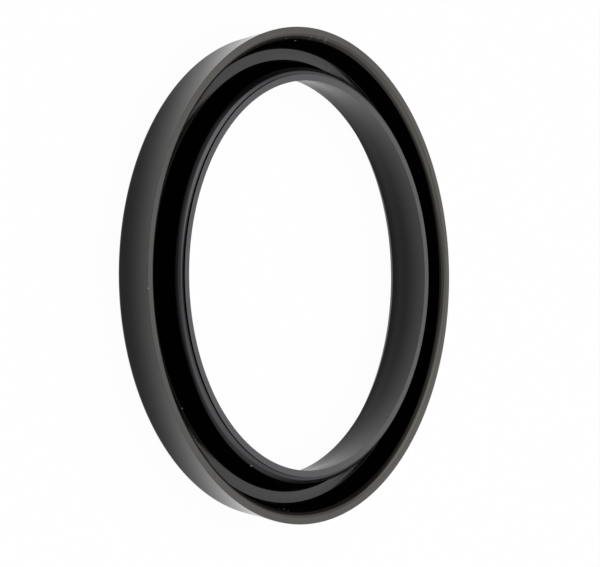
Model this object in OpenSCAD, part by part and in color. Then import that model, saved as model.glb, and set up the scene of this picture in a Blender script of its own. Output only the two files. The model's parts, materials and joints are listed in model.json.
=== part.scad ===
// Lip seal for a piston: one moulded rubber ring with a U-shaped section.
// It lies on its heel, with the open groove facing up, and its axis is the Z axis.

/* [Fit] */
// Diameter of the cylinder that the outer lip wipes
cylinder_diameter = 90; // [40:0.5:200]
// Radial depth of the piston's groove, from the cylinder wall to the floor that the inner lip grips
section_width = 7.5; // [6.5:0.1:10]
// Height of the seal, from the heel to the end of the inner lip
seal_height = 10; // [8:0.25:16]

/* [Heel] */
// Gap between the heel's outer edge, before it is rounded, and the cylinder wall
heel_gap = 0.1; // [0:0.05:1.2]
// Height of the corner between the bore's upright wall and the inner lip's slope, before it is rounded
bore_land = 4; // [2.5:0.1:5]
// Chamfer at the bore's edge of the heel
bore_chamfer = 1.5; // [0.4:0.05:1.8]
// Rounding of the heel's outer edge, where the outer lip's slope begins
heel_round = 1.5; // [0.3:0.1:2]

/* [Outer lip] */
// How far the free outer lip stands out past the cylinder wall
outer_squeeze = 1.5; // [0.5:0.05:2.5]
// How far the outer lip ends below the inner lip
outer_setback = 1.3; // [0:0.1:2.5]
// Width of the outer lip's end, from the sealing edge to the groove's corner, before it is rounded
outer_end = 1.95; // [1.5:0.05:2.8]
// Thickness from the heel's outer edge to the groove's floor
outer_root = 2.25; // [1.4:0.05:2.8]
// Rounding from the outer lip's end into the groove
outer_round = 1.6; // [0.4:0.1:2.2]

/* [Inner lip] */
// How far the free inner lip stands in past the floor of the piston's groove
inner_squeeze = 1.1; // [0.4:0.05:2]
// Width of the inner lip's flat end
inner_end = 1.25; // [0.7:0.05:1.6]
// Thickness of the inner lip at the groove's floor
inner_root = 2.85; // [2:0.05:3.4]
// Height of the trimmed step from the flat end down to the shoulder
trim_step = 0.2; // [0.05:0.05:0.4]
// Width from that step to the shoulder's corner, before it is rounded
shoulder_width = 1.1; // [0.6:0.05:1.6]
// Rounding of the shoulder into the groove
shoulder_round = 1.4; // [0.3:0.05:2]
// Radius of the bend that rounds the corner between the bore and the inner lip
bend_radius = 8; // [2:0.25:12]

/* [Groove] */
// Depth of the groove, from the end of the inner lip
groove_depth = 5.25; // [3.5:0.1:6.5]
// Fillet along both sides of the groove's floor
floor_fillet = 0.25; // [0.1:0.05:0.6]

/* [Hidden] */
$fn = 180;

// Share of an edge that the roundings at its two ends may take up together
edge_share = 0.98;
// How far each rounding's arc passes through the edges that it joins, so that they cross cleanly
arc_overlap = 0.0005;

cylinder_r = cylinder_diameter / 2;
heel_r = cylinder_r - heel_gap;
lip_r = cylinder_r + outer_squeeze;
lip_z = seal_height - outer_setback;
bore_r = cylinder_r - section_width;
grip_r = bore_r - inner_squeeze;
floor_z = seal_height - groove_depth;
step_r = grip_r + inner_end;
shoulder_z = seal_height - trim_step;

// Corners of the section, anticlockwise from the heel's inner edge: [radius, height, rounding]
corners = [
    [bore_r + bore_chamfer, 0, 0],
    [heel_r, 0, heel_round],
    [lip_r, lip_z, 0],
    [lip_r - outer_end, lip_z, outer_round],
    [heel_r - outer_root, floor_z, floor_fillet],
    [bore_r + inner_root, floor_z, floor_fillet],
    [step_r + shoulder_width, shoulder_z, shoulder_round],
    [step_r, shoulder_z, 0],
    [step_r, seal_height, 0],
    [grip_r, seal_height, 0],
    [bore_r, bore_land, bend_radius],
    [bore_r, bore_chamfer, 0],
];

function corner(i) = corners[(i + len(corners)) % len(corners)];
function spot(i) = [corner(i)[0], corner(i)[1]];
function unit(v) = v / norm(v);
function side(i, step) = spot(i + step) - spot(i);
function half_angle(i) = acos(unit(side(i, -1)) * unit(side(i, 1))) / 2;
function is_hollow(i) = cross(side(i, -1), side(i, 1)) > 0;
function reach(i) = corner(i)[2] / tan(half_angle(i));
function fit(i, step) = min(1, edge_share * norm(side(i, step)) / (reach(i) + reach(i + step)));
function fitted_radius(i) = corner(i)[2] * min(fit(i, -1), fit(i, 1));

// The sliver between a corner of the section and the arc that rounds it, carried on past the corner
// by its own depth, so that its sides cross the section's edges only where the arc meets them
module corner_web(i) {
    radius = fitted_radius(i);
    back = unit(side(i, -1));
    ahead = unit(side(i, 1));
    to_centre = unit(back + ahead);
    length = radius / tan(half_angle(i));
    depth = radius / sin(half_angle(i)) - radius;
    centre = spot(i) + to_centre * (radius + depth);
    tip = spot(i) - to_centre * depth;
    difference() {
        polygon([tip, spot(i) + back * length, centre, spot(i) + ahead * length]);
        translate(centre) circle(radius + arc_overlap);
    }
}

module section() {
    rounded = [for (i = [0 : len(corners) - 1]) if (corners[i][2] > 0) i];
    difference() {
        union() {
            polygon([for (i = [0 : len(corners) - 1]) spot(i)]);
            for (i = rounded) if (is_hollow(i)) corner_web(i);
        }
        for (i = rounded) if (!is_hollow(i)) corner_web(i);
    }
}

module seal_ring() {
    color("#232323") rotate_extrude() section();
}

seal_ring();
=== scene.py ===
"""A piston seal: one ring of black moulded rubber, lying on its heel on a white table.

The ring's section is drawn corner by corner, its corners are rounded, and it is spun round the axis.
All sizes are in metres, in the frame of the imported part.
"""
import json
import math

import bpy
from mathutils import Matrix, Vector


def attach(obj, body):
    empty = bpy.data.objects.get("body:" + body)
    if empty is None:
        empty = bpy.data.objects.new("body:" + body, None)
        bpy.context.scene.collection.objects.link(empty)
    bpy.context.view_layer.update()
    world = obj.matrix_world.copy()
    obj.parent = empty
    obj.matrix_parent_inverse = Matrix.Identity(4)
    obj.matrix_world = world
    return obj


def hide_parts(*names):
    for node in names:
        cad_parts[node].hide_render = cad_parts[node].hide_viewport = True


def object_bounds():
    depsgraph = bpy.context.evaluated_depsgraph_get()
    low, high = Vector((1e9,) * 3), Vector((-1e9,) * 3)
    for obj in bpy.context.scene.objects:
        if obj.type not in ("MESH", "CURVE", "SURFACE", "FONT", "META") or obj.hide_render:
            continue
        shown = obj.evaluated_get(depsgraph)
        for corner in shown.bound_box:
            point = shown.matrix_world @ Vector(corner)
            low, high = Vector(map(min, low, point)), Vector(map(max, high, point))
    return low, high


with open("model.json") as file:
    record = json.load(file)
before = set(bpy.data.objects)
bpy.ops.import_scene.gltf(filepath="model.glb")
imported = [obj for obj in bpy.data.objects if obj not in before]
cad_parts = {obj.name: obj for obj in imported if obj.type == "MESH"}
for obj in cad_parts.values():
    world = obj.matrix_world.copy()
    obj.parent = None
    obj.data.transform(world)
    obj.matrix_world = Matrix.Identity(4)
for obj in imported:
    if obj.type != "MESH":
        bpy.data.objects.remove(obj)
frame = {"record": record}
cad_low, cad_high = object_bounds()

MM = 0.001

# The section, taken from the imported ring's box and the seal's own sizes
LIP_RADIUS = cad_high.x
SEAL_HEIGHT = cad_high.z
CYLINDER_RADIUS = LIP_RADIUS - 1.5 * MM
BORE_RADIUS = frame["record"]["mounts"][0]["dims"]["r_mm"] * MM
HEEL_RADIUS = CYLINDER_RADIUS - 0.1 * MM
GRIP_RADIUS = BORE_RADIUS - 1.1 * MM
LIP_HEIGHT = SEAL_HEIGHT - 1.3 * MM
FLOOR_HEIGHT = SEAL_HEIGHT - 5.25 * MM
BORE_LAND = 4.0 * MM
BORE_CHAMFER = 1.5 * MM
OUTER_END = 1.95 * MM
OUTER_ROOT = 2.25 * MM
INNER_ROOT = 2.85 * MM
STEP_RADIUS = GRIP_RADIUS + 1.25 * MM
SHOULDER_WIDTH = 1.1 * MM

# Details that only show in the light: the groove's floor is folded, so that its inner half rises a little,
# and the trimmed step is drawn a little deeper, with a shoulder that slopes away from it
FLOOR_FOLD = 41.5 * MM
FLOOR_RISE = 0.09 * MM
SHOULDER_HEIGHT = SEAL_HEIGHT - 0.4 * MM
SHOULDER_DROP = 0.15 * MM

# Corners of the section: radius, height, rounding and the number of steps in that rounding
SECTION = [
    (BORE_RADIUS + BORE_CHAMFER, 0.0, 0.12 * MM, 4),
    (HEEL_RADIUS, 0.0, 1.5 * MM, 16),
    (LIP_RADIUS, LIP_HEIGHT, 0.05 * MM, 4),
    (LIP_RADIUS - OUTER_END, LIP_HEIGHT, 1.45 * MM, 20),
    (HEEL_RADIUS - OUTER_ROOT, FLOOR_HEIGHT, 0.25 * MM, 6),
    (FLOOR_FOLD, FLOOR_HEIGHT, 2.0 * MM, 3),
    (BORE_RADIUS + INNER_ROOT, FLOOR_HEIGHT + FLOOR_RISE, 0.25 * MM, 6),
    (STEP_RADIUS + SHOULDER_WIDTH, SHOULDER_HEIGHT - SHOULDER_DROP, 1.4 * MM, 20),
    (STEP_RADIUS, SHOULDER_HEIGHT, 0.03 * MM, 2),
    (STEP_RADIUS, SEAL_HEIGHT, 0.04 * MM, 3),
    (GRIP_RADIUS, SEAL_HEIGHT, 0.03 * MM, 3),
    (BORE_RADIUS, BORE_LAND, 8.0 * MM, 12),
    (BORE_RADIUS, BORE_CHAMFER, 0.04 * MM, 3),
]
SPIN_STEPS = 480
MERGE_DISTANCE = 0.001 * MM
SMOOTH_ANGLE = math.radians(40)

# The photograph's frame and the place of the ring in it
IMAGE_WIDTH = 600
IMAGE_HEIGHT = 567
HEEL_CENTRE_PX = (269.3, 275.9)
PX_PER_MM = 5.31
AXIS_TO_VIEW = math.radians(52.28)
PICTURE_ROLL = math.radians(0.52)
CAMERA_DISTANCE = 746 * MM
SENSOR_WIDTH = 36.0
CLIP_RANGE = (0.01, 100.0)

# Soft light panels, in degrees: turn from the camera's side towards +X, lift above the table,
# full out to the core and gone at the edge; then the strength
PANELS = [
    (162, 38, 8, 26, 0.95),
    (-162, 38, 8, 26, 0.95),
    (180, 12, 6, 22, 0.7),
    (-135, 62, 6, 26, 2.4),
    (120, 62, 5, 32, 1.2),
    (0, 90, 10, 45, 0.6),
    (100, 30, 5, 45, 0.6),
    (-70, 50, 5, 40, 0.4),
    (55, 60, 5, 35, 0.3),
    (0, 25, 10, 50, 0.12),
]
ROOM_LIGHT = 0.03

# The table, whose white the camera sees with a small share of the ring's soft shadow
TABLE_SIZE = 6.0
TABLE_DROP = 0.02 * MM
TABLE_WHITE = "#f4f4f4"
SEEN_WHITE = 0.97

# Painted shadow and glow of the table, which only mirrored rays see, outside and inside the ring: shift of
# the painted shadow towards the camera, radius where it is dim and where it is white, dim level and white
# level
OUTER_SHADE = (4.5 * MM, 42.0 * MM, 50.0 * MM, 0.33, 1.6)
INNER_SHADE = (12.0 * MM, 47.0 * MM, 40.0 * MM, 0.3, 1.15)
UNDER_RING = (BORE_RADIUS + HEEL_RADIUS) / 2

# Where the mirrored white starts to fade into the room, and how far on it is gone
TABLE_EDGE = 75 * MM
EDGE_FADE = 75 * MM

# Zones of painted light on the rubber, painted sheen and tinted reflections on the lips and painted shade
# in
# the groove: middle, half width and softness of the radius in mm, the same of the normal's upward part, the
# share of gloss, its tint and the colour
SHADE_AND_SHEEN_ZONES = [
    # outer lip, lighter and brown: a painted warm sheen and warm-tinted reflections
    (45.5, 1.3, 0.2, 0.65, 0.4, 0.2, 1.0, "#fffaf3", "#1c1915"),
    # inner lip's shoulder and flat end: painted blue reflections, the flat end a painted highlight
    (38.3, 0.5, 0.2, 0.65, 0.4, 0.2, 1.0, "#f8faff", "#0a0a0c"),
    (37.0, 0.6, 0.1, 1.0, 0.3, 0.1, 1.0, "#f9faff", "#212123"),
    # groove's walls and fillets: painted shade, dull and blacker
    (41.6, 2.6, 0.2, 0.2, 0.24, 0.12, 0.0, "#ffffff", "#030303"),
    (41.5, 1.3, 0.1, 0.66, 0.33, 0.004, 0.1, "#ffffff", "#030303"),
    # groove's floor, and its outer half: painted shade by less gloss, most on the outer half, and tinted
    # reflections
    (41.5, 1.1, 0.1, 1.0, 0.004, 0.004, 0.88, "#fffcf8", "#060606"),
    (42.1, 0.4, 0.4, 1.0, 0.004, 0.004, 0.56, "#f4f8ff", "#060606"),
]

# The rubber's skin: uneven gloss in patches, the mould's turning marks, really 0.05 mm apart and drawn
# coarser, and a fine grain
RUBBER_BLACK = "#070707"
RUBBER_INDEX = 1.52
FULL_SPECULAR = 0.5
ROUGHNESS = (0.12, 0.19)
PATCH_SIZE = 3 * MM
PATCH_RANGE = (0.3, 0.7)
MARK_SPACING = 0.3 * MM
SKIN_GRAIN = 0.4 * MM
SKIN_DEPTH = 0.0007 * MM

# Sparse dust: one speck to a cell, its core and edge as shares of the cell, and how strongly it shows
DUST_GREY = "#a8a59f"
DUST_CELL = 3 * MM
DUST_SPECK = (0.02, 0.035)
DUST_SHARE = 0.35

# Dust grains: turn from the camera's side in degrees, radius, height and size in mm; the core, which is
# solid, is a share of the size
SPOT_CORE = 0.5
GRAINS = [
    (-88.6, 43.95, 7.5, 0.2),
    (63.5, 39.0, 8.9, 0.25),
    (67.4, 38.75, 9.3, 0.1),
    (2.5, 46.45, 8.7, 0.15),
    (36.3, 40.3, 4.95, 0.15),
    (96.3, 40.0, 5.95, 0.2),
    (-101.8, 38.3, 9.66, 0.15),
    (-86.6, 37.9, 9.8, 0.12),
    (83, 43.8, 7.2, 0.12),
    (84, 44.0, 7.5, 0.15),
    (81, 43.7, 7.0, 0.1),
]

# Scuffs where the lips were handled, in the same terms, and the part of the grain that they catch
SCUFF_GREY = "#5a544d"
SCUFFS = [
    (-93, 44.6, 8.3, 0.7),
    (-96, 44.7, 8.4, 0.9),
    (-99, 44.8, 8.5, 0.8),
    (-84, 44.4, 8.2, 0.4),
    (83, 43.8, 7.2, 0.6),
]
SCUFF_GRAIN = (0.5, 0.62)
SCUFF_SHARE = 0.8


def linear(hex_colour):
    """Turns an sRGB hex colour into linear red, green, blue and alpha."""
    parts = [int(hex_colour[i:i + 2], 16) / 255 for i in (1, 3, 5)]
    return [p / 12.92 if p <= 0.04045 else ((p + 0.055) / 1.055) ** 2.4 for p in parts] + [1.0]


def around(turn, reach, height):
    """A place round the axis, by its turn from the camera's side towards +X."""
    return Vector((math.sin(turn) * reach, -math.cos(turn) * reach, height))


def add(tree, kind, inputs=None, **settings):
    """Adds a node with its settings; inputs holds a value or an output socket for each input."""
    node = tree.nodes.new(kind)
    for name, value in settings.items():
        setattr(node, name, value)
    for socket, value in (inputs or {}).items():
        if isinstance(value, bpy.types.NodeSocket):
            tree.links.new(value, node.inputs[socket])
        else:
            node.inputs[socket].default_value = value
    return node


def new_material(name):
    """Starts a material with no nodes, and gives it with its tree."""
    material = bpy.data.materials.new(name)
    material.use_nodes = True
    material.node_tree.nodes.clear()
    return material, material.node_tree


def painted_shade_and_sheen(tree, radius, upward):
    """Paints light and shade into the rubber's gloss, reflection tint and colour, zone by zone of the
    section.

    The colour sockets of a mix node go by number, because its other sockets have the same names.
    """
    gloss, tint, colour = 1.0, (1, 1, 1, 1), linear(RUBBER_BLACK)
    # each zone paints light or shade: sheen and tinted reflections on the lips, shade in the groove
    for mid, half, soft, up_mid, up_half, up_soft, zone_gloss, painted_reflection_tint, painted_light_colour in SHADE_AND_SHEEN_ZONES:
        spans = ((radius, mid * MM, half * MM, soft * MM), (upward, up_mid, up_half, up_soft))
        zone = 1.0
        for value, middle, width, edge in spans:
            offset = add(tree, "ShaderNodeMath", {0: value, 1: middle}, operation="SUBTRACT").outputs[0]
            offset = add(tree, "ShaderNodeMath", {0: offset}, operation="ABSOLUTE").outputs[0]
            within = add(tree, "ShaderNodeMapRange", {
                "Value": offset, "From Min": width, "From Max": width + edge, "To Min": 1.0, "To Max": 0.0,
            }, interpolation_type="SMOOTHSTEP").outputs["Result"]
            zone = add(tree, "ShaderNodeMath", {0: zone, 1: within}, operation="MULTIPLY").outputs[0]
        gloss = add(tree, "ShaderNodeMix", {"Factor": zone, "A": gloss, "B": zone_gloss}).outputs["Result"]
        tint = add(tree, "ShaderNodeMix", {"Factor": zone, 6: tint, 7: linear(painted_reflection_tint)},
                   data_type="RGBA").outputs[2]
        colour = add(tree, "ShaderNodeMix", {"Factor": zone, 6: colour, 7: linear(painted_light_colour)},
                     data_type="RGBA").outputs[2]
    return gloss, tint, colour


def handled_spots(tree, place, spots, mask):
    """Adds round spots to a mask, full in their core and gone at their edge."""
    for turn, reach, height, size in spots:
        centre = around(math.radians(turn), reach * MM, height * MM)
        gap = add(tree, "ShaderNodeVectorMath", {0: place, 1: centre}, operation="DISTANCE")
        near = add(tree, "ShaderNodeMapRange", {
            "Value": gap.outputs["Value"], "From Min": SPOT_CORE * size * MM, "From Max": size * MM,
            "To Min": 1.0, "To Max": 0.0,
        }).outputs["Result"]
        mask = add(tree, "ShaderNodeMath", {0: mask, 1: near}, operation="MAXIMUM").outputs[0]
    return mask


def moulded_rubber():
    """Nitrile rubber from a polished steel mould: deep black, seen mostly by what its soft gloss mirrors.

    The outer lip is lighter and brown and the inner lip faintly blue, a painted sheen and tinted
    reflections;
    the groove's walls are dull and blacker, a painted shade.
    Turning marks and patches break up the gloss, and dust and scuffs show that the seal was handled.
    """
    material, tree = new_material("moulded_nitrile_rubber")
    coords = add(tree, "ShaderNodeTexCoord").outputs
    place = coords["Object"]
    height = add(tree, "ShaderNodeSeparateXYZ", {0: place}).outputs["Z"]
    flat = add(tree, "ShaderNodeVectorMath", {0: place, 1: (1, 1, 0)}, operation="MULTIPLY").outputs[0]
    radius = add(tree, "ShaderNodeVectorMath", {0: flat}, operation="LENGTH").outputs["Value"]
    upward = add(tree, "ShaderNodeSeparateXYZ", {0: coords["Normal"]}).outputs["Z"]
    # painted sheen and tinted reflections on the lips, painted shade in the groove
    gloss, tint, colour = painted_shade_and_sheen(tree, radius, upward)
    level = add(tree, "ShaderNodeMath", {0: gloss, 1: FULL_SPECULAR}, operation="MULTIPLY").outputs[0]

    patches = add(tree, "ShaderNodeTexNoise", {
        "Vector": place, "Scale": 1 / PATCH_SIZE, "Detail": 3.0,
    }).outputs["Fac"]
    turned = add(tree, "ShaderNodeCombineXYZ", {"X": radius, "Y": height}).outputs[0]
    marks = add(tree, "ShaderNodeTexNoise", {
        "Vector": turned, "Scale": 1 / MARK_SPACING, "Detail": 2.0,
    }, noise_dimensions="2D").outputs["Fac"]
    skin = add(tree, "ShaderNodeTexNoise", {
        "Vector": place, "Scale": 1 / SKIN_GRAIN, "Detail": 2.0,
    }).outputs["Fac"]
    roughness = add(tree, "ShaderNodeMapRange", {
        "Value": patches, "From Min": PATCH_RANGE[0], "From Max": PATCH_RANGE[1],
        "To Min": ROUGHNESS[0], "To Max": ROUGHNESS[1],
    }).outputs["Result"]
    relief = add(tree, "ShaderNodeMath", {0: marks, 1: skin}, operation="ADD").outputs[0]
    bump = add(tree, "ShaderNodeBump", {"Height": relief, "Strength": 1.0, "Distance": SKIN_DEPTH})

    cells = add(tree, "ShaderNodeTexVoronoi", {"Vector": place, "Scale": 1 / DUST_CELL})
    specks = add(tree, "ShaderNodeMapRange", {
        "Value": cells.outputs["Distance"], "From Min": DUST_SPECK[0], "From Max": DUST_SPECK[1],
        "To Min": DUST_SHARE, "To Max": 0.0,
    }).outputs["Result"]
    dust = handled_spots(tree, place, GRAINS, specks)
    ragged = add(tree, "ShaderNodeMapRange", {
        "Value": skin, "From Min": SCUFF_GRAIN[0], "From Max": SCUFF_GRAIN[1],
        "To Min": 0.0, "To Max": SCUFF_SHARE,
    }).outputs["Result"]
    scuffs = handled_spots(tree, place, SCUFFS, 0.0)
    scuffed = add(tree, "ShaderNodeMath", {0: scuffs, 1: ragged}, operation="MULTIPLY").outputs[0]
    for mask, grey in ((scuffed, SCUFF_GREY), (dust, DUST_GREY)):
        colour = add(tree, "ShaderNodeMix", {"Factor": mask, 6: colour, 7: linear(grey)},
                     data_type="RGBA").outputs[2]

    shader = add(tree, "ShaderNodeBsdfPrincipled", {
        "Base Color": colour,
        "Roughness": roughness,
        "IOR": RUBBER_INDEX,
        "Specular IOR Level": level,
        "Specular Tint": tint,
        "Normal": bump.outputs["Normal"],
    })
    add(tree, "ShaderNodeOutputMaterial", {"Surface": shader.outputs["BSDF"]})
    return material


def draw_section():
    """Draws the section as a closed loop in the plane y = 0, by extruding a point round its corners."""
    bpy.ops.object.select_all(action="DESELECT")
    bpy.ops.mesh.primitive_plane_add(size=1 * MM)
    ring = bpy.context.object
    ring.name = "seal"
    corners = [Vector((radius, 0.0, height)) for radius, height, _, _ in SECTION]
    bpy.context.tool_settings.mesh_select_mode = (True, False, False)
    bpy.ops.object.mode_set(mode="EDIT")
    bpy.ops.mesh.select_all(action="SELECT")
    bpy.ops.mesh.merge(type="CENTER")
    bpy.ops.transform.translate(value=corners[0])
    for here, ahead in zip(corners, corners[1:] + corners[:1]):
        bpy.ops.mesh.extrude_region_move(TRANSFORM_OT_translate={"value": ahead - here})
    bpy.ops.mesh.select_all(action="SELECT")
    bpy.ops.mesh.remove_doubles(threshold=MERGE_DISTANCE)
    bpy.ops.mesh.select_all(action="DESELECT")
    bpy.ops.object.mode_set(mode="OBJECT")
    return ring


def corner_reach(index):
    """How far along its edges a corner's rounding starts."""
    count = len(SECTION)
    here, back, ahead = (Vector(SECTION[i % count][:2]) for i in (index, index - 1, index + 1))
    inner_angle = (back - here).angle(ahead - here)
    return SECTION[index][2] / math.tan(inner_angle / 2)


def round_corners(ring):
    """Rounds each corner of the section by its own radius."""
    for index, (radius, height, _, steps) in enumerate(SECTION):
        corner = Vector((radius, 0.0, height))
        nearest = min(ring.data.vertices, key=lambda v: (v.co - corner).length)
        nearest.select = True
        bpy.ops.object.mode_set(mode="EDIT")
        bpy.ops.mesh.bevel(
            affect="VERTICES", offset_type="OFFSET", offset=corner_reach(index), segments=steps,
        )
        bpy.ops.mesh.select_all(action="DESELECT")
        bpy.ops.object.mode_set(mode="OBJECT")


def make_seal():
    """Spins the rounded section into a ring, with smooth faces and crisp edges."""
    ring = draw_section()
    round_corners(ring)
    bpy.ops.object.mode_set(mode="EDIT")
    bpy.ops.mesh.select_all(action="SELECT")
    bpy.ops.mesh.spin(steps=SPIN_STEPS, angle=math.tau, center=(0, 0, 0), axis=(0, 0, 1))
    bpy.ops.mesh.select_all(action="SELECT")
    bpy.ops.mesh.remove_doubles(threshold=MERGE_DISTANCE)
    bpy.ops.mesh.normals_make_consistent(inside=False)
    bpy.ops.object.mode_set(mode="OBJECT")
    bpy.ops.object.shade_smooth_by_angle(angle=SMOOTH_ANGLE)
    even = ring.modifiers.new("even_normals", "WEIGHTED_NORMAL")
    even.keep_sharp = True
    bpy.ops.object.modifier_apply(modifier=even.name)
    return ring


def make_floor():
    """A white table with a little of the ring's shadow; mirrored rays see a painted shadow and glow."""
    bpy.ops.object.select_all(action="DESELECT")
    bpy.ops.mesh.primitive_plane_add(size=TABLE_SIZE, location=(0, 0, -TABLE_DROP))
    floor = bpy.context.object
    floor.name = "table"
    material, tree = new_material("white_table")
    place = add(tree, "ShaderNodeTexCoord").outputs["Object"]
    reach = add(tree, "ShaderNodeVectorMath", {0: place}, operation="LENGTH").outputs["Value"]
    sides = []
    for shift, dim, white, low_level, high_level in (INNER_SHADE, OUTER_SHADE):
        gap = add(tree, "ShaderNodeVectorMath", {0: place, 1: (0, -shift, 0)}, operation="DISTANCE")
        sides.append(add(tree, "ShaderNodeMapRange", {
            "Value": gap.outputs["Value"], "From Min": dim, "From Max": white,
            "To Min": low_level, "To Max": high_level,
        }, interpolation_type="SMOOTHSTEP").outputs["Result"])
    outside = add(tree, "ShaderNodeMath", {0: reach, 1: UNDER_RING}, operation="GREATER_THAN").outputs[0]
    # painted shadow at the ring's foot and painted glow further out, as mirrored rays see the table
    mirrored = add(tree, "ShaderNodeMix", {
        "Factor": outside, "A": sides[0], "B": sides[1],
    }).outputs["Result"]
    sheet = add(tree, "ShaderNodeMapRange", {
        "Value": reach, "From Min": TABLE_EDGE, "From Max": TABLE_EDGE + EDGE_FADE,
        "To Min": 1.0, "To Max": ROOM_LIGHT,
    }).outputs["Result"]
    mirrored = add(tree, "ShaderNodeMath", {0: mirrored, 1: sheet}, operation="MULTIPLY").outputs[0]
    path = add(tree, "ShaderNodeLightPath").outputs
    strength = add(tree, "ShaderNodeMix", {"Factor": path["Is Glossy Ray"], "A": 1.0, "B": mirrored})
    share = path["Is Camera Ray"]
    for ray in ("Is Transmission Ray", "Is Glossy Ray"):
        share = add(tree, "ShaderNodeMath", {0: share, 1: path[ray]}, operation="MAXIMUM").outputs[0]
    share = add(tree, "ShaderNodeMath", {0: share, 1: SEEN_WHITE}, operation="MULTIPLY").outputs[0]
    lit = add(tree, "ShaderNodeBsdfDiffuse", {"Color": linear(TABLE_WHITE)})
    white = add(tree, "ShaderNodeEmission", {"Color": (1, 1, 1, 1), "Strength": strength.outputs["Result"]})
    both = add(tree, "ShaderNodeMixShader", {0: share, 1: lit.outputs[0], 2: white.outputs[0]})
    add(tree, "ShaderNodeOutputMaterial", {"Surface": both.outputs[0]})
    floor.data.materials.append(material)


def make_world():
    """A dim room with soft light panels, which the camera itself sees as plain white."""
    world = bpy.data.worlds.new("studio")
    world.use_nodes = True
    bpy.context.scene.world = world
    tree = world.node_tree
    tree.nodes.clear()
    direction = add(tree, "ShaderNodeTexCoord").outputs["Generated"]
    light = ROOM_LIGHT
    for *angles, strength in PANELS:
        turn, lift, core, edge = (math.radians(angle) for angle in angles)
        aim = around(turn, math.cos(lift), math.sin(lift))
        nearness = add(tree, "ShaderNodeVectorMath", {0: direction, 1: aim}, operation="DOT_PRODUCT")
        glow = add(tree, "ShaderNodeMapRange", {
            "Value": nearness.outputs["Value"], "From Min": math.cos(edge), "From Max": math.cos(core),
            "To Min": 0.0, "To Max": strength,
        }, interpolation_type="SMOOTHSTEP").outputs["Result"]
        light = add(tree, "ShaderNodeMath", {0: light, 1: glow}, operation="ADD").outputs[0]
    seen = add(tree, "ShaderNodeLightPath").outputs["Is Camera Ray"]
    shown = add(tree, "ShaderNodeMix", {"Factor": seen, "A": light, "B": 1.0}).outputs["Result"]
    room = add(tree, "ShaderNodeBackground", {"Color": (1, 1, 1, 1), "Strength": shown})
    add(tree, "ShaderNodeOutputWorld", {"Surface": room.outputs[0]})


def make_camera():
    """Looks down on the lying ring, turned so that the ring's axis runs to the picture's right."""
    toward_viewer = Vector((0, -math.sin(AXIS_TO_VIEW), math.cos(AXIS_TO_VIEW)))
    axis_side = Vector((0, math.cos(AXIS_TO_VIEW), math.sin(AXIS_TO_VIEW)))
    across = Vector((-1, 0, 0))
    right = axis_side * math.cos(PICTURE_ROLL) - across * math.sin(PICTURE_ROLL)
    up = axis_side * math.sin(PICTURE_ROLL) + across * math.cos(PICTURE_ROLL)
    place = toward_viewer * CAMERA_DISTANCE
    offset_x = (IMAGE_WIDTH / 2 - HEEL_CENTRE_PX[0]) / PX_PER_MM * MM
    offset_y = (HEEL_CENTRE_PX[1] - IMAGE_HEIGHT / 2) / PX_PER_MM * MM
    target = right * offset_x + up * offset_y
    back = (place - target).normalized()
    side = up.cross(back).normalized()
    data = bpy.data.cameras.new("camera")
    data.sensor_width = SENSOR_WIDTH
    data.lens = SENSOR_WIDTH * (place - target).length / MM * PX_PER_MM / IMAGE_WIDTH
    data.clip_start, data.clip_end = CLIP_RANGE
    camera = bpy.data.objects.new("camera", data)
    turn = Matrix((side, back.cross(side), back)).transposed()
    camera.matrix_world = Matrix.Translation(place) @ turn.to_4x4()
    bpy.context.scene.collection.objects.link(camera)
    bpy.context.scene.camera = camera


bpy.context.scene.view_settings.view_transform = "Standard"
make_camera()
make_world()
make_floor()
seal = make_seal()
seal.data.materials.append(moulded_rubber())
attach(seal, "root")
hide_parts("seal_ring")
